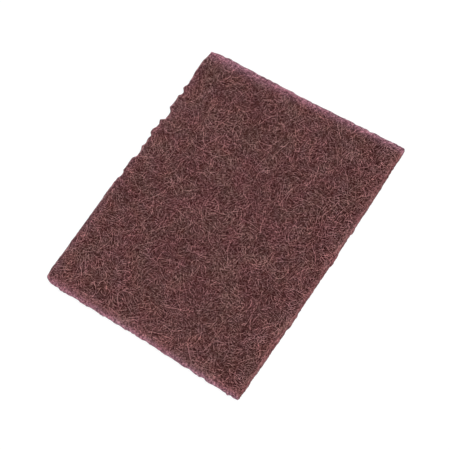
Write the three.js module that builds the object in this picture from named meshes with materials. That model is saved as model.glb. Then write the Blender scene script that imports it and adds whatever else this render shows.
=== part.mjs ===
// A non-woven abrasive hand pad: one bonded web of crimped fibres, cut to a rectangle.
// X runs along its length, Y across its width and Z up through its thickness, in millimetres.
// It lies flat on the table, and the origin is under the middle of its outline.
import * as THREE from "three";

// Overall size
const LENGTH = 151;
const WIDTH = 117.9;
const THICKNESS = 6.5;
const CORNER_RADIUS = 1.2;

// The cut is a little out of true. The far side is the one towards +Y.
const FAR_SIDE_SHORTER = 0.7;
const END_HOLLOW = 0.55;
const NEAR_SIDE_FALL = 1;
const FAR_SIDE_FALL = 0.9;
const FAR_SIDE_CROWN_X = 30;

// The cut crushes the web, so its edge is thinner than the rest.
// From below it has a round foot, an upright wall and a long round shoulder.
const FOOT_HEIGHT = 1;
const END_FOOT = 1.4;
const SIDE_FOOT = 0.8;
const WALL_TOP = 3.4;
const END_SHOULDER = 3.2;
const SIDE_SHOULDER = 1.6;

// What is torn out of the far side: where each bite starts and ends along X, and how deep it is.
// A depth below nothing is a swelling or a tuft that stands out.
const TEARS = [
  { from: -25, to: -17, depth: -0.3 },
  { from: -11.5, to: -6.5, depth: 1 },
  { from: 1.5, to: 9.5, depth: 1.7 },
  { from: 9.5, to: 18, depth: 1.2 },
  { from: 18, to: 21.5, depth: -0.4 },
  { from: 21.5, to: 27.2, depth: 0.9 },
  { from: 27.2, to: 35.6, depth: 2.3 },
  { from: 35.6, to: 43.5, depth: 0.5 },
  { from: 43.5, to: 48.2, depth: 1.5 },
  { from: 49.5, to: 58, depth: 0.45 },
  { from: 58, to: 70, depth: -0.25 },
  { from: 69, to: 80, depth: 0.35 },
];

// How finely the outline and the section are divided
const END_STEPS = 14;
const SIDE_STEPS = 16;
const TEAR_STEPS = 8;
const CORNER_STEPS = 5;
const FOOT_STEPS = 2;
const SHOULDER_STEPS = 5;

// How far a point stays from the end of a tear, or from a corner, that it isn't part of
const TEAR_MARGIN = 0.8;

const halfLength = LENGTH / 2;
const halfWidth = WIDTH / 2;

// A bite is scooped: nearly flat in its middle, and steep where it starts and ends.
function tearDepth(x, { from, to, depth }) {
  const share = Math.min(Math.abs(2 * x - from - to) / (to - from), 1);
  return depth * (1 - share ** 3);
}

// How far each edge stands in from the straight rectangle.
function endInset(y) {
  const across = y / halfWidth;
  const taper = ((FAR_SIDE_SHORTER / 2) * (1 + across)) / 2;
  return taper + END_HOLLOW * (1 - across * across);
}

function nearSideInset(x) {
  return NEAR_SIDE_FALL * (x / halfLength) ** 2;
}

function farSideInset(x) {
  const fall = (x - FAR_SIDE_CROWN_X) / (halfLength + FAR_SIDE_CROWN_X);
  const torn = TEARS.reduce((sum, tear) => sum + tearDepth(x, tear), 0);
  return FAR_SIDE_FALL * fall * fall + torn;
}

// The places along X of the far side's points, from +X to -X: close together where it is torn,
// and a long step apart elsewhere.
function farSidePlaces(end) {
  const divide = (from, to, steps) =>
    Array.from({ length: steps + 1 }, (_, step) => from + ((to - from) * step) / steps);
  const isPlain = (x) => TEARS.every(({ from, to }) => x < from - TEAR_MARGIN || x > to + TEAR_MARGIN);
  const plain = divide(-end, end, SIDE_STEPS).filter(isPlain);
  const torn = TEARS.flatMap(({ from, to }) => divide(from, to, TEAR_STEPS));
  const inside = [...plain, ...torn].filter((x) => Math.abs(x) < end - TEAR_MARGIN);
  return [end, ...[...new Set(inside)].sort((a, b) => b - a), -end];
}

// The straight rectangle with round corners, anticlockwise from the near corner of the +X end.
function straightOutline() {
  const x = halfLength - CORNER_RADIUS;
  const y = halfWidth - CORNER_RADIUS;
  const line = (x1, y1, x2, y2, steps) =>
    new THREE.LineCurve(new THREE.Vector2(x1, y1), new THREE.Vector2(x2, y2)).getPoints(steps);
  const corner = (cx, cy, quarter) => {
    const start = (quarter * Math.PI) / 2;
    return new THREE.ArcCurve(cx, cy, CORNER_RADIUS, start, start + Math.PI / 2).getPoints(CORNER_STEPS);
  };
  const stretches = [
    line(halfLength, -y, halfLength, y, END_STEPS),
    corner(x, y, 0),
    farSidePlaces(x).map((place) => new THREE.Vector2(place, halfWidth)),
    corner(-x, y, 1),
    line(-halfLength, y, -halfLength, -y, END_STEPS),
    corner(-x, -y, 2),
    line(-x, -halfWidth, x, -halfWidth, SIDE_STEPS),
    corner(x, -y, 3),
  ];
  // Each stretch ends where the next one starts, so its last point is left out.
  return stretches.flatMap((points) => points.slice(0, -1));
}

// The outline as it is cut and torn, with the middle of its box at the origin.
function cutOutline() {
  const points = straightOutline().map(({ x, y }) => {
    const sideInset = y > 0 ? farSideInset(x) : nearSideInset(x);
    return new THREE.Vector2(
      x * (1 - endInset(y) / halfLength),
      y * (1 - sideInset / halfWidth),
    );
  });
  const middle = new THREE.Box2().setFromPoints(points).getCenter(new THREE.Vector2());
  return points.map((point) => point.sub(middle));
}

// The section of the edge, from the underside up: each level's height,
// and how far it stands in from the wall at the ends and at the sides.
// Foot and shoulder are quarters of an ellipse.
function edgeLevels() {
  const levels = [];
  for (let step = 0; step <= FOOT_STEPS; step++) {
    const angle = ((step / FOOT_STEPS) * Math.PI) / 2;
    const inset = 1 - Math.sin(angle);
    levels.push({
      z: FOOT_HEIGHT * (1 - Math.cos(angle)),
      end: END_FOOT * inset,
      side: SIDE_FOOT * inset,
    });
  }
  for (let step = 0; step <= SHOULDER_STEPS; step++) {
    const angle = ((step / SHOULDER_STEPS) * Math.PI) / 2;
    const inset = 1 - Math.cos(angle);
    levels.push({
      z: WALL_TOP + (THICKNESS - WALL_TOP) * Math.sin(angle),
      end: END_SHOULDER * inset,
      side: SIDE_SHOULDER * inset,
    });
  }
  return levels;
}

// The solid: the outline drawn in to each level of the edge, with a flat face below and above.
function padGeometry() {
  const outline = cutOutline();
  const levels = edgeLevels();
  const count = outline.length;
  const positions = levels.flatMap(({ z, end, side }) =>
    outline.flatMap(({ x, y }) => [x * (1 - end / halfLength), y * (1 - side / halfWidth), z]),
  );
  const indices = [];
  for (let level = 0; level < levels.length - 1; level++) {
    for (let i = 0; i < count; i++) {
      const a = level * count + i;
      const b = level * count + ((i + 1) % count);
      indices.push(a, b, b + count, a, b + count, a + count);
    }
  }
  const top = (levels.length - 1) * count;
  for (const [a, b, c] of THREE.ShapeUtils.triangulateShape(outline, [])) {
    indices.push(c, b, a, top + a, top + b, top + c);
  }
  const geometry = new THREE.BufferGeometry();
  geometry.setAttribute("position", new THREE.Float32BufferAttribute(positions, 3));
  geometry.setIndex(indices);
  geometry.computeVertexNormals();
  return geometry;
}

const maroonWeb = new THREE.MeshStandardMaterial({
  color: 0x614040,
  roughness: 0.95,
  metalness: 0,
});

const pad = new THREE.Mesh(padGeometry(), maroonWeb);
pad.name = "pad";

const handPad = new THREE.Group();
handPad.add(pad);

export default handPad;
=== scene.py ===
"""A non-woven abrasive hand pad: the open web of fibres, its matted rim and the studio round it.

Lengths are in millimetres until a mesh is made, angles in degrees until they are used, and the
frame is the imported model's own.
"""
import math

import bpy
import numpy as np
from mathutils import Matrix, Vector


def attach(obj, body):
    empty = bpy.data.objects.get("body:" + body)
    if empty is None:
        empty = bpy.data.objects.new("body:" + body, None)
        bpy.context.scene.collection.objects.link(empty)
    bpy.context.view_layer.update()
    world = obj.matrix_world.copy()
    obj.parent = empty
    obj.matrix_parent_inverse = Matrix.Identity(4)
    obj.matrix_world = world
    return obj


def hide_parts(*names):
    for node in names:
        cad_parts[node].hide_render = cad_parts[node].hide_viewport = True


MM = 0.001

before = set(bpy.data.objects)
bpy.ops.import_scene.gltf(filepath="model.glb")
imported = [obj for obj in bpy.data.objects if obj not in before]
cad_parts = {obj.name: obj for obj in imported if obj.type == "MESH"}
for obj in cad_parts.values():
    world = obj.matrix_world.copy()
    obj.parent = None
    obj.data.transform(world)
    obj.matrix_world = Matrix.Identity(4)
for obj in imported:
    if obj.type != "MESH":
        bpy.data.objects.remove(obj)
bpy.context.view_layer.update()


# The solid's outline and section, read from the frame

# How near two heights are that belong to one level of the solid
LEVEL_TOLERANCE = 0.02
# A level that stands in by less than this is part of the straight wall
WALL_INSET = 0.01
# The solid's corners are left out of an edge's line, for their radius and this much more
CORNER_RADIUS = 1.2
CORNER_MARGIN = 0.3
# The four edges, each as the axis that it faces along and the sign of its side
EDGES = ((0, -1), (0, 1), (1, -1), (1, 1))
# Keeps a division safe where a length is nought
TINY = 1e-9


def cad_points():
    """The corners of the solid's mesh."""
    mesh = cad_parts["pad"].data
    places = np.empty(len(mesh.vertices) * 3)
    mesh.vertices.foreach_get("co", places)
    return places.reshape(-1, 3) / MM


solid = cad_points()
heights = np.unique(solid[:, 2].round(2))
half_length, half_width = np.ptp(solid[:, :2], axis=0) / 2


def level_insets(height):
    """How far the solid's edge stands in at this height, at the ends and at the sides."""
    ring = solid[np.abs(solid[:, 2] - height) < LEVEL_TOLERANCE]
    reach = np.ptp(ring[:, :2], axis=0) / 2
    return half_length - reach[0], half_width - reach[1]


insets = np.array([level_insets(height) for height in heights])


def edge_shifts():
    """How far each edge lies from the straight rectangle, as {edge: (places, shifts)}."""
    levels = np.searchsorted(heights - LEVEL_TOLERANCE, solid[:, 2]) - 1
    wall = solid[(insets[levels] < WALL_INSET).all(axis=1)]
    halves = (half_length, half_width)
    share = np.abs(wall[:, :2]) / halves
    shifts = {}
    for axis, sign in EDGES:
        other = 1 - axis
        near = (share[:, axis] > share[:, other]) & (wall[:, axis] * sign > 0)
        near &= np.abs(wall[:, other]) < halves[other] - CORNER_RADIUS - CORNER_MARGIN
        places = wall[near]
        places = places[np.argsort(places[:, other])]
        shifts[axis, sign] = (places[:, other], places[:, axis] - sign * halves[axis])
    return shifts


shifts = edge_shifts()

# How far each edge strays from a clean line: a tuft starts and ends at a place along the edge and
# stands out by so much, and a notch goes in, by a number below nought
TUFTS = {
    (0, 1): (
        (-54.8, -51.9, 0.35), (-51.4, -48.6, 0.2), (-44.3, -39.5, 0.35), (-39.5, -37.6, -0.35),
        (-37.4, -35.7, 0.4), (-35.7, -31.8, 0.2), (-29.4, -24.5, 0.4), (-24.5, -22.6, 0.25),
        (-17.7, -12.7, 0.25), (-6, -3.8, -0.4), (1.2, 6.2, -0.3), (6.7, 8.4, 0.4), (8.4, 11.5, 0.2),
        (15.6, 19.7, 0.3), (20.4, 23.5, 0.45), (24.3, 26.6, 0.3), (29.7, 37.4, 0.35),
        (40.1, 45.3, 0.3), (45.3, 49, 0.45), (49, 51.2, -0.3),
    ),
    (0, -1): (
        (-55.5, -53.3, -0.45), (-53.4, -52.1, 0.5), (-52.2, -50.7, -0.25), (-49.6, -43.9, -0.2),
        (-43.3, -39.1, 0.35), (-39.1, -36.8, -0.45), (-36.8, -34.5, 0.3), (-34.5, -32.2, 0.3),
        (-31.4, -28.5, -0.25), (-28.5, -24.1, 0.35), (-16.3, -13.3, 0.2), (-12.8, -5.4, -0.1),
        (-5.2, -2.2, -0.5), (2.5, 4.4, -0.35), (4.6, 6.7, -0.4), (7.6, 10.7, 0.25),
        (13.2, 16.2, 0.25), (21.2, 24.7, 0.5), (25.3, 27.5, 0.2), (30.6, 37.4, 0.5),
        (42.1, 45.8, 0.4), (45.8, 49.6, 0.55), (49.7, 52.5, -0.2),
    ),
    (1, 1): (
        (-70.3, -66.5, 0.3), (-66.5, -64.6, 0.3), (-64.6, -60.8, 0.25), (-53.2, -51.3, 0.25),
        (-16.7, -13.7, 0.3), (-6.3, -1.8, -0.25), (4.7, 8.2, 0.2), (8.5, 12.8, -0.45),
        (13, 16, 0.4), (15.4, 18.2, -0.65), (20.4, 22.9, -0.25), (25.1, 27.1, 0.6), (26.9, 29.2, -1.2),
        (48, 50, 0.3), (49.4, 53, -0.6), (58, 74, 0.15), (64.5, 68, 0.2),
    ),
    (1, -1): (
        (-65.1, -61.8, -0.25), (-49.9, -44.6, -0.2), (-36.9, -33.8, -0.25), (-33.2, -29.6, 0.5),
        (-30.6, -24.7, 0.4), (-18.6, -15.7, -0.25), (-11.1, -8.4, -0.2), (3.6, 6.6, 0.5),
        (5.6, 11.8, 0.4), (19.4, 22.8, -0.25), (22.8, 27.1, 0.4), (36.7, 40.3, 0.25),
        (40.5, 44.4, 0.2), (49.6, 52.8, 0.2), (61.7, 64.3, -0.2),
    ),
}
# How full a tuft is towards its two ends, and how far in from the edge it still moves the web
TUFT_FULLNESS = 3
TUFT_REACH = 2.5
# How much the cut line frays, at places this far apart, as far as this to both sides
FRAY = 0.06
FRAY_STEP = 0.2
FRAY_END = 80
FRAY_SEED = 5
# How far the loose fibres stand out from each edge on the whole
FLUFF = {(0, 1): 0.12, (0, -1): 0.17, (1, 1): 0.1, (1, -1): 0.12}
# How far each edge falls away towards its corners, at the low end and at the high end of the edge
CORNER_FALLS = {(0, 1): (-0.1, 1.2), (0, -1): (0.25, 0.6), (1, 1): (0.6, 0), (1, -1): (0.5, 0)}
CORNER_FALL_REACH = 5.5
# How round the corners are, and how far in from an edge its line still bends the web
CORNER_ROUND = 0.6
WARP_REACH = 12.0


def tuft_shifts():
    """How far tufts and notches shift each edge outward, as {edge: (places, shifts)}."""
    rng = np.random.default_rng(FRAY_SEED)
    places = np.arange(-FRAY_END, FRAY_END, FRAY_STEP)
    frayed = {}
    for edge, tufts in TUFTS.items():
        shift = FLUFF[edge] + FRAY * rng.standard_normal(len(places))
        for start, stop, height in tufts:
            share = np.minimum(np.abs(2 * places - start - stop) / (stop - start), 1)
            shift = shift + height * (1 - share ** TUFT_FULLNESS)
        end = (half_width, half_length)[edge[0]]
        for side, fall in zip((-1, 1), CORNER_FALLS[edge]):
            shift = shift - fall * np.clip(1 - (end - side * places) / CORNER_FALL_REACH, 0, 1)
        frayed[edge] = (places, edge[1] * shift)
    return frayed


frayed = tuft_shifts()


def eased(share):
    """A share between nought and one, made to start and end gently."""
    return share * share * (3 - 2 * share)


def warp(x, y):
    """Takes places from the straight rectangle to the outline as it is cut and torn."""
    u = np.maximum(np.abs(x) - (half_length - CORNER_ROUND), 0) / CORNER_ROUND
    v = np.maximum(np.abs(y) - (half_width - CORNER_ROUND), 0) / CORNER_ROUND
    round_off = np.maximum(u, v) / np.maximum(np.hypot(u, v), TINY)
    pull = np.where((u > 0) & (v > 0), 1 - round_off, 0) * CORNER_ROUND
    x = x - np.sign(x) * u * pull
    y = y - np.sign(y) * v * pull
    out = [x, y]
    for (axis, sign), (places, shift) in shifts.items():
        way, across, half = ((x, y, half_length), (y, x, half_width))[axis]
        inset = half - sign * way
        near = eased(np.clip(1 - inset / WARP_REACH, 0, 1))
        rim = np.clip(1 - inset / TUFT_REACH, 0, 1)
        tuft = np.interp(across, *frayed[axis, sign]) * rim
        out[axis] = out[axis] + np.interp(across, places, shift) * near + tuft
    return out


class Roll:
    """The section of one edge, from a flat face out over the rim and along the wall."""

    def __init__(self, half, insets, heights):
        steps = np.hypot(np.diff(insets), np.diff(heights))
        slopes = np.arctan2(np.abs(np.diff(heights)), np.abs(np.diff(insets)))
        turns = (slopes[1:] + slopes[:-1]) / 2
        self.half = half
        self.insets = insets
        self.heights = heights
        self.up = 1 if heights[0] > heights[-1] else -1
        self.ways = np.concatenate([[0], np.cumsum(steps)])
        self.turns = np.concatenate([[0], turns, [math.pi / 2]])
        # How far out the sheet is flat, where its wall starts, and where it ends
        self.flat = half - insets[0]
        self.shoulder = self.flat + self.ways[-2]
        self.reach = self.flat + self.ways[-1]

    def section(self, way):
        """Inset, height and turn of the surface this far beyond the flat."""
        inset = np.interp(way, self.ways, self.insets) + np.maximum(-way, 0)
        height = np.interp(way, self.ways, self.heights)
        return inset, height, np.interp(way, self.ways, self.turns)

    def place(self, along, depth):
        """Reach, height and turn of a spot this far along the sheet, at a depth under its surface."""
        inset, height, turn = self.section(np.abs(along) - self.flat)
        reach = self.half - inset - depth * np.sin(turn)
        return np.sign(along) * reach, height - self.up * depth * np.cos(turn), turn


class Face:
    """A broad face and the rim it rolls over into, as one sheet laid out flat."""

    def __init__(self, rows):
        self.end = Roll(half_length, insets[rows, 0], heights[rows])
        self.side = Roll(half_width, insets[rows, 1], heights[rows])
        self.up = self.end.up

    def straight(self, a, b):
        """Where a spot of the sheet is in the straight rectangle."""
        inset_a = self.end.section(np.abs(a) - self.end.flat)[0]
        inset_b = self.side.section(np.abs(b) - self.side.flat)[0]
        return np.sign(a) * (half_length - inset_a), np.sign(b) * (half_width - inset_b)

    def place(self, a, b, depth):
        """The place and the outward normal of a spot on the sheet, at a depth under its surface."""
        x, end_height, end_turn = self.end.place(a, depth)
        y, side_height, side_turn = self.side.place(b, depth)
        lower = np.minimum if self.up > 0 else np.maximum
        x, y = warp(x, y)
        normal = np.stack([
            np.sign(a) * np.sin(end_turn),
            np.sign(b) * np.sin(side_turn),
            self.up * np.cos(end_turn) * np.cos(side_turn),
        ], axis=-1)
        normal /= np.maximum(np.linalg.norm(normal, axis=-1, keepdims=True), TINY)
        return np.stack([x, y, lower(end_height, side_height)], axis=-1), normal


wall_rows = np.flatnonzero(insets.max(axis=1) < WALL_INSET)
top = Face(np.arange(len(heights) - 1, wall_rows[0] - 1, -1))
underside = Face(np.arange(wall_rows[-1] + 1))


# How the cut edges differ

# The pale tint of each edge: how far in from the edge, and the tint at each of these places
TINTS = {
    (0, 1): ((0, 2, 3.5, 5, 7), (0.98, 0.9, 0.7, 0.28, 0)),
    (0, -1): ((0, 0.6, 1.5, 2.6, 5), (1.0, 0.72, 0.26, 0.06, 0)),
    (1, 1): ((0, 1.6, 3, 6), (0.24, 0.27, 0.17, 0)),
    (1, -1): ((0, 0.1, 0.5, 1.4), (0.6, 0.4, 0.12, 0)),
}
# How much the tint narrows towards the -Y side and widens towards the other, at the ends and the sides
NARROWING = (0.25, 0.0)
# How red the tint is, from mauve
WARMTH = {(0, 1): 0.0, (0, -1): 0.0, (1, 1): 0.0, (1, -1): 0.9}
# How much paler the web gets towards each edge, and how far in from it that starts
PALER = {(0, 1): 0.26, (0, -1): 0.07, (1, 1): 0.04, (1, -1): 0.08}
PALER_REACH = 9.0
# How strongly painted shade darkens the wall of an edge and the line above it, and how far in from the
# edge that line goes
OUTLINES = {(0, 1): 0.65, (1, 1): 0.5}
OUTLINE_WIDTH = 1.6
# Where the matted rim of an edge starts to open up into single fibres, and how far that takes
OPENINGS = {(0, 1): (0.3, 2.2), (0, -1): (0.1, 1.7), (1, 1): (0.0, 1.4), (1, -1): (0.0, 0.9)}


def edge_insets(x, y):
    """How far in from each edge of the straight rectangle a place is."""
    ways = ((x, half_length), (y, half_width))
    return {(axis, sign): ways[axis][1] - sign * ways[axis][0] for axis, sign in EDGES}


def rim_values(x, y):
    """A place's pale tint and how red that is, how much painted shade its edge's wall and outline
    take, and how open the web is.
    """
    tint, warm, edge_shade = np.zeros((3, *x.shape))
    opened = np.ones(x.shape)
    for edge, inset in edge_insets(x, y).items():
        narrowing = 1 - NARROWING[edge[0]] * y / half_width
        share = np.interp(inset * narrowing, *TINTS[edge])
        warm = np.where(share > tint, WARMTH[edge], warm)
        tint = np.maximum(tint, share)
        edge_shade = np.maximum(edge_shade, OUTLINES.get(edge, 0) * np.clip(1 - inset / OUTLINE_WIDTH, 0, 1))
        start, span = OPENINGS[edge]
        opened = np.minimum(opened, eased(np.clip((inset - start) / span, 0, 1)))
    return {"rim": tint, "warm": warm, "edge_shade": edge_shade}, opened


def paleness(x, y):
    """How much paler a place is than the middle of the face, because of the edges near it."""
    gain = np.zeros(x.shape)
    for edge, inset in edge_insets(x, y).items():
        gain = np.maximum(gain, PALER[edge] * np.clip(1 - inset / PALER_REACH, 0, 1))
    return 1 + gain


# Chance

# How broad the bumps of each relief are
SWELL_SIZE = 14
LUMP_SIZE = 4.5
GRAIN_SIZE = 1.6
# A relief is a square field of so many cells a side, each this wide, and it repeats beyond them
FIELD_CELL = 0.8
FIELD_COUNT = 256
FIELD_SEED = 71


def smooth_noise(rng, size):
    """A random relief with bumps of about this size and a spread of one, as a function of place."""
    waves = np.hypot(*np.meshgrid(*[np.fft.fftfreq(FIELD_COUNT, FIELD_CELL)] * 2))
    relief = np.fft.fft2(rng.standard_normal((FIELD_COUNT, FIELD_COUNT)))
    relief = np.fft.ifft2(relief * np.exp(-((waves * size) ** 2) * 2)).real
    relief /= relief.std()

    def height(x, y):
        columns, rows = x / FIELD_CELL, y / FIELD_CELL
        left, low = np.floor(columns).astype(int), np.floor(rows).astype(int)
        right_share, up_share = columns - left, rows - low
        value = 0
        for step_x, share_x in ((0, 1 - right_share), (1, right_share)):
            for step_y, share_y in ((0, 1 - up_share), (1, up_share)):
                cell = relief[(left + step_x) % FIELD_COUNT, (low + step_y) % FIELD_COUNT]
                value = value + cell * share_x * share_y
        return value

    return height


chance = np.random.default_rng(FIELD_SEED)
swell = smooth_noise(chance, SWELL_SIZE)
lumps = smooth_noise(chance, LUMP_SIZE)
grain = smooth_noise(chance, GRAIN_SIZE)


# Meshes

def new_piece(name, places, faces, uvs, values, material):
    """A smooth-shaded mesh object from faces given as arrays of corners, with a map and values."""
    mesh = bpy.data.meshes.new(name)
    corners = np.concatenate([group.ravel() for group in faces])
    sizes = np.concatenate([np.full(len(group), group.shape[1]) for group in faces])
    starts = np.concatenate([[0], np.cumsum(sizes)[:-1]])
    mesh.vertices.add(len(places))
    mesh.vertices.foreach_set("co", (places * MM).ravel())
    mesh.loops.add(len(corners))
    mesh.loops.foreach_set("vertex_index", corners.astype(np.int32))
    mesh.polygons.add(len(sizes))
    mesh.polygons.foreach_set("loop_start", starts.astype(np.int32))
    mesh.update(calc_edges=True)
    mesh.polygons.foreach_set("use_smooth", np.ones(len(sizes), dtype=bool))
    layer = mesh.uv_layers.new(name="OFBake")
    layer.data.foreach_set("uv", np.concatenate([group.ravel() for group in uvs]))
    for key, value in values.items():
        attribute = mesh.attributes.new(key, "FLOAT", "POINT")
        attribute.data.foreach_set("value", value.astype(np.float32))
    mesh.materials.append(material)
    piece = bpy.data.objects.new(name, mesh)
    bpy.context.collection.objects.link(piece)
    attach(piece, "root")
    return piece


# Materials

WHITE = (1.0, 1.0, 1.0)
BROWN_TINT = (1.0, 0.94, 0.89)
MAUVE_TINT = (0.98, 0.875, 0.925)
GREY_TINT = (0.97, 1.0, 1.0)
RED_TINT = (1.0, 0.885, 0.895)
# The fibres go from FIBRE_DARK deep down to FIBRE_LIGHT on top, so the dark end is painted shade, and
# the core's near-black colours paint the shade of the deep web
FIBRE_DARK = (0.055, 0.0015, 0.0015)
FIBRE_LIGHT = (1.0, 0.57, 0.55)
CORE_DARK = (0.03, 0.002, 0.002)
CORE_LIGHT = (0.09, 0.009, 0.008)
RIM_MAUVE = (0.90, 0.51, 0.61)
RIM_RED = (0.44, 0.165, 0.162)
RIM_SHADE = (0.52, 0.45, 0.47)
RIM_DULL = (0.78, 0.74, 0.78)
RIM_BRIGHT = (1.18, 1.15, 1.15)
FOOT_SHADE = (0.3, 0.45, 0.45)
OUTLINE_SHADE = (0.3, 0.38, 0.4)
PIT_SHADE = (0.45, 0.38, 0.38)

# Each noise as its scale and detail, and the values between which its patches blend
MAUVE_NOISE, MAUVE_BLEND = (110, 3), (0.36, 0.64)
RED_NOISE, RED_BLEND = (120, 2), (0.38, 0.62)
MOTTLE_NOISE, MOTTLE_BLEND = (800, 4), (0.42, 0.58)
FINE_NOISE, FINE_BLEND = (1000, 1), (0.3, 0.7)
ROUGH_NOISE, ROUGH_BLEND = (800, 2), (0.3, 0.7)
PIT_BLEND = (0.37, 0.54)
# How strongly the web's greyish and red patches show on the rim
RIM_PATCH_SHARE = 0.6
# The heights between which the wall comes out of its painted shade at the foot
FOOT_HEIGHTS = (0.5, 2.1)
SPECULAR = 0.2
BUMP_DETAIL = 3
BUMP_HEIGHT = 0.1

# Where the colour mixing node has its share, its two colours and its result
MIX_INPUTS = (0, 6, 7)
MIX_RESULT = 2


class Tree:
    """The node tree of a material or a world, with a short way to add each kind of node."""

    def __init__(self, owner):
        owner.use_nodes = True
        self.nodes = owner.node_tree.nodes
        self.links = owner.node_tree.links

    def feed(self, socket, value):
        """Gives a socket another node's output, a plain colour or a number."""
        if isinstance(value, bpy.types.NodeSocket):
            self.links.new(value, socket)
        elif isinstance(value, tuple):
            socket.default_value = (*value, 1)
        else:
            socket.default_value = value

    def value(self, name):
        """A value that each mesh holds for its corners."""
        attribute = self.nodes.new("ShaderNodeAttribute")
        attribute.attribute_name = name
        return attribute.outputs["Fac"]

    def noise(self, places, scale, detail):
        noise = self.nodes.new("ShaderNodeTexNoise")
        self.feed(noise.inputs["Scale"], scale)
        self.feed(noise.inputs["Detail"], detail)
        self.feed(noise.inputs["Vector"], places)
        return noise.outputs["Fac"]

    def ranged(self, value, low, high, new_low=0.0, new_high=1.0):
        """A value brought from one range to another, and kept inside it."""
        ranged = self.nodes.new("ShaderNodeMapRange")
        for index, entry in enumerate((value, low, high, new_low, new_high)):
            self.feed(ranged.inputs[index], entry)
        return ranged.outputs[0]

    def mix(self, share, first, second, blend="MIX"):
        mix = self.nodes.new("ShaderNodeMix")
        mix.data_type = "RGBA"
        mix.blend_type = blend
        for index, entry in zip(MIX_INPUTS, (share, first, second)):
            self.feed(mix.inputs[index], entry)
        return mix.outputs[MIX_RESULT]

    def multiply(self, colour, tint, share=1.0):
        return self.mix(share, colour, tint, "MULTIPLY")

    def blend_shaders(self, share, first, second):
        blend = self.nodes.new("ShaderNodeMixShader")
        for index, entry in enumerate((share, first, second)):
            self.feed(blend.inputs[index], entry)
        return blend.outputs[0]


def rim_colour(tree, places, tone, patches, fine):
    """The matted rim: mauve or red, mottled, darker with the tone, and darker at the foot of the wall
    in painted shade.
    """
    rim = tree.mix(tree.value("warm"), RIM_MAUVE, RIM_RED)
    # Darker where the tone is low: at random for the rim's own fibres, and as painted shade where the
    # tone falls with depth
    rim = tree.multiply(rim, tree.mix(tone, RIM_SHADE, WHITE))
    rim = tree.multiply(rim, patches, RIM_PATCH_SHARE)
    mottle = tree.ranged(tree.noise(places, *MOTTLE_NOISE), *MOTTLE_BLEND)
    for share in (mottle, tree.ranged(fine, *FINE_BLEND)):
        rim = tree.multiply(rim, tree.mix(share, RIM_DULL, RIM_BRIGHT))
    # Painted shade at the foot of the wall
    axes = tree.nodes.new("ShaderNodeSeparateXYZ")
    tree.feed(axes.inputs[0], places)
    foot = tree.ranged(axes.outputs["Z"], *[height * MM for height in FOOT_HEIGHTS])
    return tree.multiply(rim, tree.mix(foot, FOOT_SHADE, WHITE))


def web_colour(tree, places, dark, light, patch_share):
    """From dark to light by tone, in brown, mauve, greyish and red patches, with the rim, painted
    shade in pits and at the edges.
    """
    tone = tree.value("tone")
    mauve = tree.ranged(tree.noise(places, *MAUVE_NOISE), *MAUVE_BLEND)
    red = tree.ranged(tree.noise(places, *RED_NOISE), *RED_BLEND)
    red_patches = tree.mix(red, GREY_TINT, RED_TINT)
    colour = tree.mix(tone, dark, light)
    colour = tree.multiply(colour, tree.mix(mauve, BROWN_TINT, MAUVE_TINT), patch_share)
    colour = tree.multiply(colour, red_patches, patch_share)
    fine = tree.noise(places, *FINE_NOISE)
    colour = tree.mix(tree.value("rim"), colour, rim_colour(tree, places, tone, red_patches, fine))
    # Painted shade in small pits of the web
    colour = tree.multiply(colour, tree.mix(tree.ranged(fine, *PIT_BLEND), PIT_SHADE, WHITE))
    # Painted shade on the walls and outlines of the +X end and the +Y side
    return tree.multiply(colour, tree.mix(tree.value("edge_shade"), WHITE, OUTLINE_SHADE))


def web_material(name, dark, light, patch_share, roughness, bump_scale, bump):
    """The resin-coated web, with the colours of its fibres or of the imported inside."""
    material = bpy.data.materials.new(name)
    tree = Tree(material)
    places = tree.nodes.new("ShaderNodeTexCoord").outputs["Object"]
    relief = tree.nodes.new("ShaderNodeBump")
    tree.feed(relief.inputs["Strength"], bump)
    tree.feed(relief.inputs["Distance"], BUMP_HEIGHT * MM)
    tree.feed(relief.inputs["Height"], tree.noise(places, bump_scale, BUMP_DETAIL))
    rough = tree.ranged(tree.noise(places, *ROUGH_NOISE), *ROUGH_BLEND, *roughness)
    shader = tree.nodes["Principled BSDF"]
    tree.feed(shader.inputs["Base Color"], web_colour(tree, places, dark, light, patch_share))
    tree.feed(shader.inputs["Roughness"], rough)
    tree.feed(shader.inputs["Specular IOR Level"], SPECULAR)
    tree.feed(shader.inputs["Normal"], relief.outputs["Normal"])
    return material


fibre_material = web_material(
    "web_fibres", FIBRE_DARK, FIBRE_LIGHT, patch_share=1.0,
    roughness=(0.6, 0.85), bump_scale=2500, bump=0.4,
)
core_material = web_material(
    "web_core", CORE_DARK, CORE_LIGHT, patch_share=0.8,
    roughness=(0.75, 0.95), bump_scale=900, bump=0.6,
)


# The core: the imported inside of the web, seen between the fibres, its near-black colours painting
# the deep web's shade

CORE_COLUMNS = 200
CORE_ROWS = 156
CORE_TOP_RINGS = 8
CORE_UNDER_RINGS = 5
# The height on the wall at which the core's two halves meet
WALL_MIDDLE = 2.2
# How deep the core lies under the surface, in the open web, at the rim and at the least
CORE_DEPTH = 1.9
CORE_RIM_DEPTH = 0.2
CORE_LEAST_DEPTH = 0.05
# The height of its lumps and of its grain, and the share of both that is left at the rim
CORE_LUMPS = 0.22
CORE_GRAIN = 0.2
CORE_RIM_RELIEF = 0.3
# How far the two faces' lumps and grain are read apart, so that no face repeats the other's
LUMPS_SHIFT = 100
GRAIN_SHIFT = 60
# The share of the pale tint that the core takes at the rim, kept low so that the gaps between the
# rim's fibres hold painted shade, and how much less in the open web
CORE_TINT = 0.5
CORE_TINT_FALL = 0.4
# Its tone at the rim, kept low as painted shade between the rim's fibres, how much paler it is in the
# open web, and how much paler a high spot is, as painted shade in its hollows
CORE_TONE = 0.1
CORE_TONE_RISE = 0.3
CORE_TONE_RELIEF = 0.8
# The margin round each half of the core's map
CORE_MAP_MARGIN = 0.005


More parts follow.
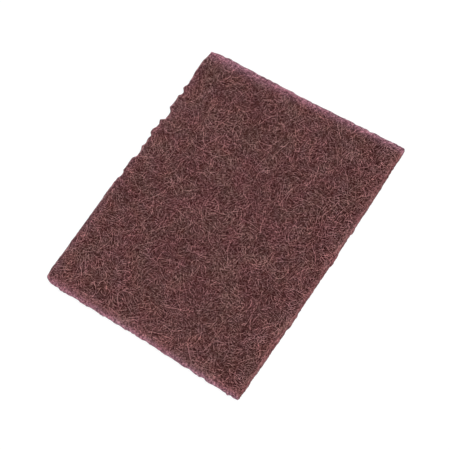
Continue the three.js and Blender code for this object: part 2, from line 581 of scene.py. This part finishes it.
def core_sheet(face, rings):
    """One half of the core: rings up the wall and over the rim, then an even grid."""
    columns, rows = np.meshgrid(np.arange(CORE_COLUMNS), np.arange(CORE_ROWS), indexing="ij")
    from_end = np.minimum(columns, CORE_COLUMNS - 1 - columns)
    from_side = np.minimum(rows, CORE_ROWS - 1 - rows)
    border = np.minimum(from_end, from_side) == 0
    ring = np.minimum(np.minimum(from_end, from_side), rings)
    middle = ((CORE_COLUMNS - 1) / 2, (CORE_ROWS - 1) / 2)
    share_x = (columns - middle[0]) / (middle[0] - ring)
    share_y = (rows - middle[1]) / (middle[1] - ring)
    sections = []
    for roll in (face.end, face.side):
        last = np.interp(WALL_MIDDLE, roll.heights[::-roll.up], roll.ways[::-roll.up])
        sections.append(roll.section(last * (1 - ring / rings)))
    (end_inset, end_height, end_turn), (side_inset, side_height, side_turn) = sections
    plain_x = share_x * (half_length - end_inset)
    plain_y = share_y * (half_width - side_inset)
    values, opened = rim_values(plain_x, plain_y)
    relief = CORE_LUMPS * lumps(plain_x + LUMPS_SHIFT * face.up, plain_y)
    relief = relief + CORE_GRAIN * grain(plain_x, plain_y + GRAIN_SHIFT * face.up)
    depth = CORE_RIM_DEPTH + (CORE_DEPTH - CORE_RIM_DEPTH + relief) * opened
    depth = depth + CORE_RIM_RELIEF * relief * (1 - opened)
    depth = np.where(border, CORE_RIM_DEPTH, np.maximum(depth, CORE_LEAST_DEPTH))
    x, y = warp(
        share_x * (half_length - end_inset - depth * np.sin(end_turn)),
        share_y * (half_width - side_inset - depth * np.sin(side_turn)),
    )
    height = np.where(from_end < from_side, end_height, side_height)
    turn = np.where(from_end < from_side, end_turn, side_turn)
    z = height - face.up * depth * np.cos(turn)
    # Little tint and a low tone at the rim, and a darker tone in the hollows, are painted shade
    values["rim"] = values["rim"] * (CORE_TINT - CORE_TINT_FALL * opened)
    tone = CORE_TONE + CORE_TONE_RISE * opened - CORE_TONE_RELIEF * relief
    values["tone"] = np.clip(tone, 0, 1)
    return np.stack([x, y, z], axis=-1), values


def grid_corners(grid):
    """The four corners of each cell of a grid, in order round the cell."""
    return grid[:-1, :-1], grid[1:, :-1], grid[1:, 1:], grid[:-1, 1:]


def make_core():
    """A closed body of two sheets, the top's and the underside's, that share their border."""
    sheets = [core_sheet(top, CORE_TOP_RINGS), core_sheet(underside, CORE_UNDER_RINGS)]
    over = np.arange(CORE_COLUMNS * CORE_ROWS).reshape(CORE_COLUMNS, CORE_ROWS)
    under = over.copy()
    under[1:-1, 1:-1] += over.size
    span = 1 - 2 * CORE_MAP_MARGIN
    # The top takes the upper half of the map, and the underside the lower half.
    map_x, map_y = np.meshgrid(
        CORE_MAP_MARGIN + span * np.linspace(0, 1, CORE_COLUMNS),
        CORE_MAP_MARGIN + (span - 0.5) * np.linspace(0, 1, CORE_ROWS), indexing="ij",
    )
    quads, maps = [], []
    for names, order, low in ((over, (0, 1, 2, 3), 0.5), (under, (0, 3, 2, 1), 0.0)):
        corners = grid_corners(names)
        spots = grid_corners(np.stack([map_x, low + map_y], axis=-1))
        quads.append(np.stack([corners[number].ravel() for number in order], axis=-1))
        maps.append(np.stack([spots[number].reshape(-1, 2) for number in order], axis=1))
    # The underside's border points are the top's, so its own are left out.
    used, quads = np.unique(np.concatenate(quads), return_inverse=True)
    quads = quads.reshape(-1, 4)
    places = np.concatenate([places.reshape(-1, 3) for places, _ in sheets])[used]
    values = {
        key: np.concatenate([values[key].ravel() for _, values in sheets])[used]
        for key in sheets[0][1]
    }
    core = new_piece("web_core", places, [quads], [np.concatenate(maps)], values, core_material)
    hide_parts("pad")


# Fibres

TUBE_SIDES = 3
# How much a fibre bends, and how soon its bend changes
FIBRE_BEND = 0.2
FIBRE_BEND_REACH = 2
# How long the waves are in which a fibre goes up and down, and how much the layers swell
FIBRE_WAVES = (2.5, 5.5)
FIBRE_SWELL = 0.2
# How much the thickness differs between the fibres of the web and of the rim
WEB_THICKNESS_SPREAD = 0.15
RIM_THICKNESS_SPREAD = 0.2
# The share of its depth and of its thickness that a fibre of the web keeps where it is matted
MATTED_DEPTH = 0.35
MATTED_THICKNESS = 0.75
# How deep the painted light on the web reaches, how fast its painted shade deepens, how much fibres
# differ, and the limits
TONE_DEPTH = 1.8
TONE_FALL = 5.0
TONE_SPREAD = 0.4
TONE_LEAST = 0.02
TONE_MOST = 1.4
# How pale the fibres of each cut edge are at most, and how much less where the web is open
RIM_TONES = {(0, 1): 0.97, (0, -1): 0.97, (1, 1): 0.58, (1, -1): 0.74}
RIM_TONE_FALL = 0.2
# How far above the wall's foot the rim's fibres end, and how deep they lie, as a share of their radius
RIM_FOOT_GAP = 0.1
RIM_SEAT = 0.8
# The cells in which the crowd is counted, and how much a fibre adds to a cell and its neighbours
CROWD_CELL = 0.35
CROWD_MARGIN = 20
CROWD_WEIGHTS = (0.5, 1, 0.5)
# How many places each fibre can choose from, and at how many spots a stretch of it is counted
CROWD_CHOICES = 12
CROWD_SPOTS = 4
# The margins of a fibre's strip of the map, and how far the ends' own triangles reach into them
STRIP_END_MARGIN = 0.04
STRIP_SIDE_MARGIN = 0.12
STRIP_CAP = 0.03


def wander(rng, count, points, lengths, bend, bend_reach, spread=2 * math.pi):
    """Paths on the flat that curve at random, each with its middle at nought.

    They head along the first axis, give or take half the spread."""
    steps = lengths / (points - 1)
    keep = np.exp(-steps / bend_reach)
    curve = rng.standard_normal(count) * bend
    heading = rng.uniform(-spread / 2, spread / 2, count)
    x, y = np.zeros((count, points)), np.zeros((count, points))
    for point in range(1, points):
        heading = heading + curve * steps
        x[:, point] = x[:, point - 1] + np.cos(heading) * steps
        y[:, point] = y[:, point - 1] + np.sin(heading) * steps
        curve = keep * curve + np.sqrt(1 - keep * keep) * bend * rng.standard_normal(count)
    middle = points // 2
    return x - x[:, middle:middle + 1], y - y[:, middle:middle + 1]


class Crowd:
    """How thickly fibres already lie over a sheet, so that the next ones go where there is room."""

    def __init__(self, face):
        self.reach = np.array([face.end.reach, face.side.reach]) + CROWD_MARGIN
        self.row = int(2 * self.reach[1] / CROWD_CELL) + 1
        self.filled = np.zeros((int(2 * self.reach[0] / CROWD_CELL) + 1) * self.row)
        steps = np.arange(-1, 2)
        self.around = (steps[:, None] * self.row + steps).ravel()
        self.weights = np.outer(CROWD_WEIGHTS, CROWD_WEIGHTS).ravel()

    def cells(self, a, b):
        """The numbers of the cells that these places are in."""
        columns = ((a + self.reach[0]) / CROWD_CELL).astype(int)
        return columns * self.row + ((b + self.reach[1]) / CROWD_CELL).astype(int)

    def settle(self, rng, x, y):
        """Gives each path the least crowded of a few places and turns."""
        count, points = x.shape
        turn = rng.uniform(0, 2 * math.pi, (count, CROWD_CHOICES, 1))
        reach = self.reach - CROWD_MARGIN
        middle_a = rng.uniform(-reach[0], reach[0], turn.shape)
        middle_b = rng.uniform(-reach[1], reach[1], turn.shape)
        a = x[:, None] * np.cos(turn) - y[:, None] * np.sin(turn) + middle_a
        b = x[:, None] * np.sin(turn) + y[:, None] * np.cos(turn) + middle_b
        shares = np.linspace(0, 1, CROWD_SPOTS, endpoint=False)
        between = [
            (1 - shares) * path[..., :-1, None] + shares * path[..., 1:, None]
            for path in (a, b)
        ]
        cells = self.cells(*between).reshape(count, CROWD_CHOICES, -1)
        chosen = np.zeros(count, dtype=int)
        for path in range(count):
            chosen[path] = (self.filled[cells[path]] ** 2).sum(axis=1).argmin()
            near = cells[path, chosen[path]][:, None] + self.around
            np.add.at(self.filled, near, np.broadcast_to(self.weights, near.shape))
        row = np.arange(count)
        return a[row, chosen], b[row, chosen]


def cut_to(inside, *paths):
    """Keeps the longest run of each path that is inside, spread over the same number of points."""
    count, points = inside.shape
    keep = np.ones(count, dtype=bool)
    paths = [path.copy() for path in paths]
    for row in np.flatnonzero(~inside.all(axis=1)):
        best, start = (0, 0), None
        for point, good in enumerate([*inside[row], False]):
            if good and start is None:
                start = point
            if not good and start is not None:
                if point - start > best[1] - best[0]:
                    best = (start, point)
                start = None
        if best[1] - best[0] < 2:
            keep[row] = False
            continue
        spots = np.linspace(best[0], best[1] - 1, points)
        for path in paths:
            path[row] = np.interp(spots, np.arange(points), path[row])
    return [path[keep] for path in paths]


def tube_corners(places, normals, radius):
    """A ring of corners round each point of each path."""
    along = np.gradient(places, axis=1)
    along /= np.maximum(np.linalg.norm(along, axis=-1, keepdims=True), TINY)
    beside = np.cross(along, normals)
    beside /= np.maximum(np.linalg.norm(beside, axis=-1, keepdims=True), TINY)
    outward = np.cross(beside, along)
    angles = math.pi / 2 + np.arange(TUBE_SIDES) * 2 * math.pi / TUBE_SIDES
    rings = [
        places + radius[..., None] * (math.cos(angle) * beside + math.sin(angle) * outward)
        for angle in angles
    ]
    return np.stack(rings, axis=2).reshape(-1, 3)


def tube_faces(count, points):
    """The four-cornered faces along the tubes, and the three-cornered ones that close their ends."""
    index = np.arange(count * points * TUBE_SIDES).reshape(count, points, TUBE_SIDES)
    quads = []
    for side in range(TUBE_SIDES):
        after = (side + 1) % TUBE_SIDES
        corners = (index[:, :-1, side], index[:, 1:, side], index[:, 1:, after], index[:, :-1, after])
        quads.append(np.stack([corner.ravel() for corner in corners], axis=-1))
    caps = [index[:, 0], index[:, -1, ::-1]]
    return [np.concatenate(quads), np.concatenate(caps)]


def tube_map(count, points, columns):
    """A strip of the map for each tube, laid in columns, for the same faces in the same order."""
    width, height = 1 / columns, 1 / math.ceil(count / columns)
    strip = np.arange(count)
    left, low = strip % columns * width, strip // columns * height
    shares = STRIP_END_MARGIN + (1 - 2 * STRIP_END_MARGIN) * np.linspace(0, 1, points)
    u = left[:, None] + width * shares
    near, far = low + height * STRIP_SIDE_MARGIN, low + height * (1 - STRIP_SIDE_MARGIN)
    spots = ((u[:, :-1], near), (u[:, 1:], near), (u[:, 1:], far), (u[:, :-1], far))
    quads = [np.stack([a.ravel(), np.repeat(b, points - 1)], axis=-1) for a, b in spots]
    caps = []
    for end, way in ((0, -1), (-1, 1)):
        tip = u[:, end] + way * width * STRIP_CAP
        spots = ((u[:, end], near), (u[:, end], far), (tip, (near + far) / 2))
        caps.append(np.stack([np.stack(spot, axis=-1) for spot in spots], axis=1))
    return [np.concatenate([np.stack(quads, axis=1)] * TUBE_SIDES), np.concatenate(caps)]


def make_tubes(name, places, normals, radius, values, columns):
    """Closed three-sided tubes along the paths, each with its own strip of the map."""
    count, points = places.shape[:2]
    corners = tube_corners(places, normals, radius)
    values = {key: np.repeat(value.ravel(), TUBE_SIDES) for key, value in values.items()}
    faces, spots = tube_faces(count, points), tube_map(count, points, columns)
    new_piece(name, corners, faces, spots, values, fibre_material)


def depth_shaded_tone(rng, depth):
    """Paler towards the surface and darker with depth, as painted shade of the web above, and
    different in each fibre.
    """
    fibre = np.exp(rng.normal(0, TONE_SPREAD, (len(depth), 1)))
    lit = np.clip(1 - depth / TONE_DEPTH, TONE_LEAST, 1) ** TONE_FALL
    return np.clip(lit * fibre, TONE_LEAST, TONE_MOST)


def make_web(
    name, face, crowd, seed, count, lengths, thick, depths, sway,
    points=4, bend_reach=FIBRE_BEND_REACH, columns=8,
):
    """A layer of fibres over a face, cut off at the rim.

    Each swings up and down by its sway, round a depth between the two that are given."""
    rng = np.random.default_rng(seed)
    length = rng.uniform(*lengths, count)
    x, y = wander(rng, count, points, length, FIBRE_BEND, bend_reach)
    a, b = crowd.settle(rng, x, y)
    way = np.linspace(0, 1, points) * length[:, None]
    waves = rng.uniform(*FIBRE_WAVES, (count, 1))
    phase = rng.uniform(0, 2 * math.pi, (count, 1))
    depth = rng.uniform(*depths, (count, 1)) + sway * np.sin(2 * math.pi * way / waves + phase)
    radius = thick / 2 * np.exp(rng.normal(0, WEB_THICKNESS_SPREAD, (count, 1)))
    inside = (np.abs(a) < face.end.shoulder) & (np.abs(b) < face.side.shoulder)
    a, b, depth, radius = cut_to(inside, a, b, depth, np.broadcast_to(radius, a.shape))
    spot = face.straight(a, b)
    values, opened = rim_values(*spot)
    # The tone carries painted shade that deepens with each fibre's depth
    values["tone"] = depth_shaded_tone(rng, depth) * paleness(*spot)
    depth = (depth + FIBRE_SWELL * swell(a, b)) * (MATTED_DEPTH + (1 - MATTED_DEPTH) * opened)
    radius = radius * (MATTED_THICKNESS + (1 - MATTED_THICKNESS) * opened)
    places, normals = face.place(a, b, np.maximum(depth, radius))
    make_tubes(name, places, normals, radius, values, columns)


def make_rim(name, seed, count, points, lengths, thick, spread, ways, depths, columns):
    """Fibres that run along the cut edges, give or take half the spread.

    The two ways say how far beyond the flat their band starts, and how far past the wall's foot
    the middles of the cut-off ones may lie."""
    rng = np.random.default_rng(seed)
    end, side = top.end, top.side
    length = rng.uniform(*lengths, count)
    along, across = wander(rng, count, points, length, FIBRE_BEND, FIBRE_BEND_REACH, spread)
    on_end = rng.uniform(0, half_length + half_width, (count, 1)) < half_width
    on_end = np.broadcast_to(on_end, along.shape)
    sign = rng.choice((-1, 1), (count, 1))
    foot = np.where(on_end, end.ways[-1], side.ways[-1])
    way = ways[0] + rng.uniform(0, 1, (count, 1)) * (foot - ways[0] + ways[1]) + across
    edge = sign * (np.where(on_end, end.flat, side.flat) + way)
    other = rng.uniform(-1, 1, (count, 1)) * np.where(on_end, half_width, half_length) + along
    inside = np.abs(other) < np.where(on_end, side.shoulder, end.shoulder)
    inside &= (way > ways[0]) & (way < foot - RIM_FOOT_GAP)
    a, b = np.where(on_end, edge, other), np.where(on_end, other, edge)
    depth = rng.uniform(*depths, (count, 1))
    radius = thick / 2 * np.exp(rng.normal(0, RIM_THICKNESS_SPREAD, (count, 1)))
    pale = sum(
        tone * ((on_end == (axis == 0)) & (sign == wanted))
        for (axis, wanted), tone in RIM_TONES.items()
    )
    depth, radius = np.broadcast_to(depth, a.shape), np.broadcast_to(radius, a.shape)
    a, b, depth, radius, pale = cut_to(inside, a, b, depth, radius, pale)
    values, opened = rim_values(*top.straight(a, b))
    values["tone"] = pale * rng.uniform(0, 1, (len(a), 1)) * (1 - RIM_TONE_FALL * opened)
    places, normals = top.place(a, b, np.maximum(depth, radius * RIM_SEAT))
    make_tubes(name, places, normals, radius, values, columns)


make_core()
top_crowd = Crowd(top)
make_web(
    "top_fibres_long", top, top_crowd, seed=9, count=750, lengths=(8, 16), thick=0.22,
    depths=(0.02, 0.2), sway=0.15, points=10, bend_reach=7,
)
make_web(
    "top_fibres_crown", top, top_crowd, seed=10, count=8400, lengths=(2.5, 5.5), thick=0.2,
    depths=(0.1, 0.3), sway=0.22,
)
make_web(
    "top_fibres_upper", top, top_crowd, seed=11, count=9500, lengths=(2.5, 5.5), thick=0.2,
    depths=(0.45, 0.75), sway=0.28,
)
make_web(
    "top_fibres_middle", top, top_crowd, seed=12, count=9000, lengths=(2.5, 5.5), thick=0.21,
    depths=(0.8, 1.1), sway=0.3,
)
make_web(
    "top_fibres_lower", top, top_crowd, seed=13, count=6500, lengths=(3, 6), thick=0.27,
    depths=(1.2, 1.6), sway=0.25,
)
make_web(
    "underside_fibres", underside, Crowd(underside), seed=14, count=3600, lengths=(4.5, 9),
    thick=0.4, depths=(0.05, 0.8), sway=0.25,
)
make_rim(
    "rim_fibres", seed=15, count=1300, points=8, lengths=(5, 11), thick=0.24, spread=0.6,
    ways=(-1.0, 0.5), depths=(0.0, 0.3), columns=8,
)
make_rim(
    "rim_mat", seed=16, count=3800, points=4, lengths=(1.5, 4), thick=0.2, spread=3.2,
    ways=(0.0, 0.3), depths=(0.0, 0.2), columns=24,
)


# Floor, light and camera

FLOOR_REACH = 3000.0
FLOOR_PAPER = (0.9, 0.9, 0.9)
FLOOR_GLOW = 1.06
# How much of the pad's shadow shows on the white floor
SHADOW_SHARE = 0.12
SKY_LEVEL = 0.6
KEY_LEVEL = 0.4
# How wide the key light looks from the pad
KEY_SOFTNESS = 18.0
KEY_AZIMUTH = 20.0
KEY_ELEVATION = 64.0

VIEW_AZIMUTH = -38.538
VIEW_ELEVATION = 65.227
VIEW_ROLL = -19.0655
VIEW_DISTANCE = 619.94
VIEW_TARGET = (-3.824, -2.463, 0.0)
VIEW_LENS = 99.43
VIEW_SENSOR = 36
VIEW_NEAR = 10
# Half a pixel of the picture, at the pad's distance
HALF_PIXEL = 0.249


def direction(azimuth, elevation):
    """The way towards a viewer or a lamp."""
    azimuth, elevation = math.radians(azimuth), math.radians(elevation)
    level = math.cos(elevation)
    return Vector((math.sin(azimuth) * level, -math.cos(azimuth) * level, math.sin(elevation)))


def seen_ray(tree):
    """One where the ray comes from the camera, or shows the background in a gloss."""
    path = tree.nodes.new("ShaderNodeLightPath")
    most = path.outputs["Is Camera Ray"]
    for name in ("Is Glossy Ray", "Is Transmission Ray"):
        join = tree.nodes.new("ShaderNodeMath")
        join.operation = "MAXIMUM"
        tree.feed(join.inputs[0], most)
        tree.feed(join.inputs[1], path.outputs[name])
        most = join.outputs[0]
    return most


def floor_material():
    """White to the camera, with a little of the shadow, and plain paper to the pad's own light."""
    material = bpy.data.materials.new("white_floor")
    tree = Tree(material)
    tree.nodes.remove(tree.nodes["Principled BSDF"])
    paper = tree.nodes.new("ShaderNodeBsdfDiffuse")
    tree.feed(paper.inputs["Color"], FLOOR_PAPER)
    glow = tree.nodes.new("ShaderNodeEmission")
    tree.feed(glow.inputs["Strength"], FLOOR_GLOW)
    shown = tree.blend_shaders(1 - SHADOW_SHARE, paper.outputs[0], glow.outputs[0])
    surface = tree.blend_shaders(seen_ray(tree), paper.outputs[0], shown)
    tree.feed(tree.nodes["Material Output"].inputs["Surface"], surface)
    return material


def make_floor():
    mesh = bpy.data.meshes.new("floor")
    reach = FLOOR_REACH * MM
    corners = [(reach * x, reach * y, 0) for x, y in ((-1, -1), (1, -1), (1, 1), (-1, 1))]
    mesh.from_pydata(corners, [], [(0, 1, 2, 3)])
    mesh.materials.append(floor_material())
    floor = bpy.data.objects.new("floor", mesh)
    bpy.context.collection.objects.link(floor)


def make_sky():
    """An even white light all round, and a white backdrop."""
    world = bpy.data.worlds.new("studio")
    bpy.context.scene.world = world
    tree = Tree(world)
    sky = tree.nodes["Background"]
    backdrop = tree.nodes.new("ShaderNodeBackground")
    for light, level in ((sky, SKY_LEVEL), (backdrop, 1.0)):
        tree.feed(light.inputs["Color"], WHITE)
        tree.feed(light.inputs["Strength"], level)
    surface = tree.blend_shaders(seen_ray(tree), sky.outputs[0], backdrop.outputs[0])
    tree.feed(tree.nodes["World Output"].inputs["Surface"], surface)


def make_key():
    """A soft light from high up on the -Y side."""
    lamp = bpy.data.lights.new("key", "SUN")
    lamp.energy = KEY_LEVEL * math.pi / math.sin(math.radians(KEY_ELEVATION))
    lamp.angle = math.radians(KEY_SOFTNESS)
    key = bpy.data.objects.new("key", lamp)
    towards = direction(KEY_AZIMUTH, KEY_ELEVATION)
    key.rotation_euler = (-towards).to_track_quat("-Z", "Y").to_euler()
    bpy.context.collection.objects.link(key)


def make_camera():
    roll = math.radians(VIEW_ROLL)
    back = direction(VIEW_AZIMUTH, VIEW_ELEVATION)
    level = Vector((0, 0, 1)).cross(back).normalized()
    upright = back.cross(level)
    right = level * math.cos(roll) + upright * math.sin(roll)
    up = upright * math.cos(roll) - level * math.sin(roll)
    place = Vector(VIEW_TARGET) + back * VIEW_DISTANCE - right * HALF_PIXEL + up * HALF_PIXEL
    lens = bpy.data.cameras.new("camera")
    lens.lens = VIEW_LENS
    lens.sensor_width = VIEW_SENSOR
    lens.clip_start = VIEW_NEAR * MM
    camera = bpy.data.objects.new("camera", lens)
    turn = Matrix((right, up, back)).transposed().to_4x4()
    camera.matrix_world = Matrix.Translation(place * MM) @ turn
    bpy.context.collection.objects.link(camera)
    bpy.context.scene.camera = camera


make_floor()
make_sky()
make_key()
make_camera()
bpy.context.scene.view_settings.view_transform = "Standard"
